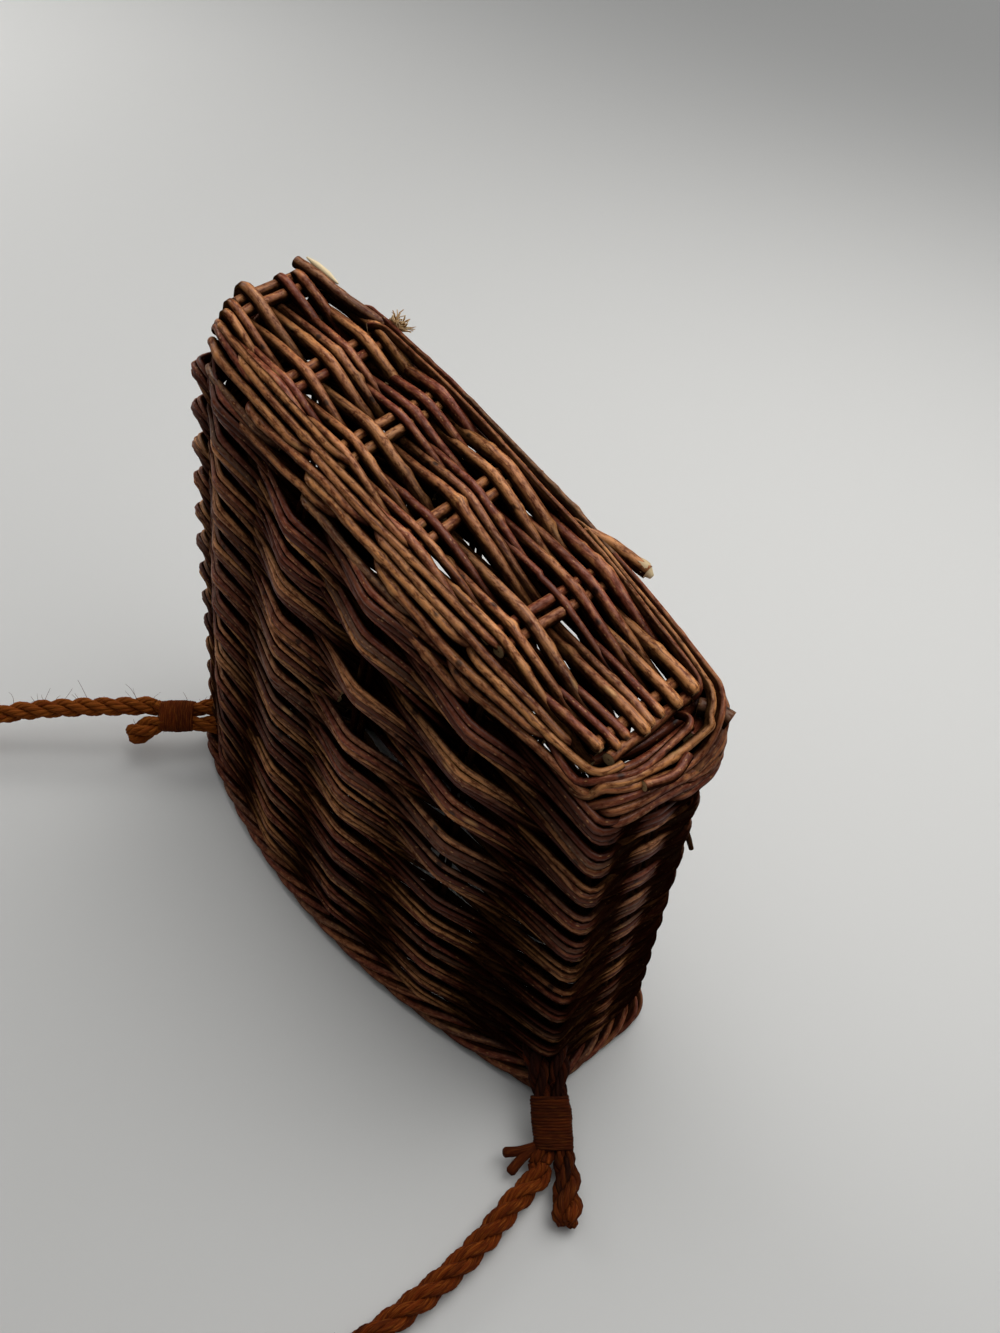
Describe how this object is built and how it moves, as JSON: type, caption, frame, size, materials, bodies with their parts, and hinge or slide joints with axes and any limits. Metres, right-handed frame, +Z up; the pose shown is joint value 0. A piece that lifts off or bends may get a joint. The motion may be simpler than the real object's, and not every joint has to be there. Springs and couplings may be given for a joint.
{
  "type": "wicker basket bag",
  "caption": "Small woven willow basket bag standing upside down on its mouth, with a twisted rope strap bound on at its front corners.",
  "frame": {"origin": "on the floor under the middle of the mouth, on which the bag stands", "axes": "+X along the long side towards the lower end, -Y out of the front wall that the strap hangs from, +Z up"},
  "size_m": [0.3078, 0.2793, 0.2017],
  "materials": {
    "willow": "satin bark",
    "stick_willow": "satin bark",
    "rope": "matt fibre"
  },
  "bodies": {
    "root": {"wall": "willow", "border": "willow", "base_weave": "willow", "base_stick_1a": "stick_willow", "base_stick_1b": "stick_willow", "base_stick_2a": "stick_willow", "base_stick_2b": "stick_willow", "base_stick_3a": "stick_willow", "base_stick_3b": "stick_willow", "base_stick_4a": "stick_willow", "base_stick_4b": "stick_willow", "base_stick_5a": "stick_willow", "base_stick_5b": "stick_willow", "base_stick_6a": "stick_willow", "base_stick_6b": "stick_willow", "rope_strap": "rope", "rope_end_near": "rope", "rope_end_far": "rope", "whipping_near": "rope", "whipping_far": "rope", "binding_end_near": "rope"}
  },
  "joints": []
}
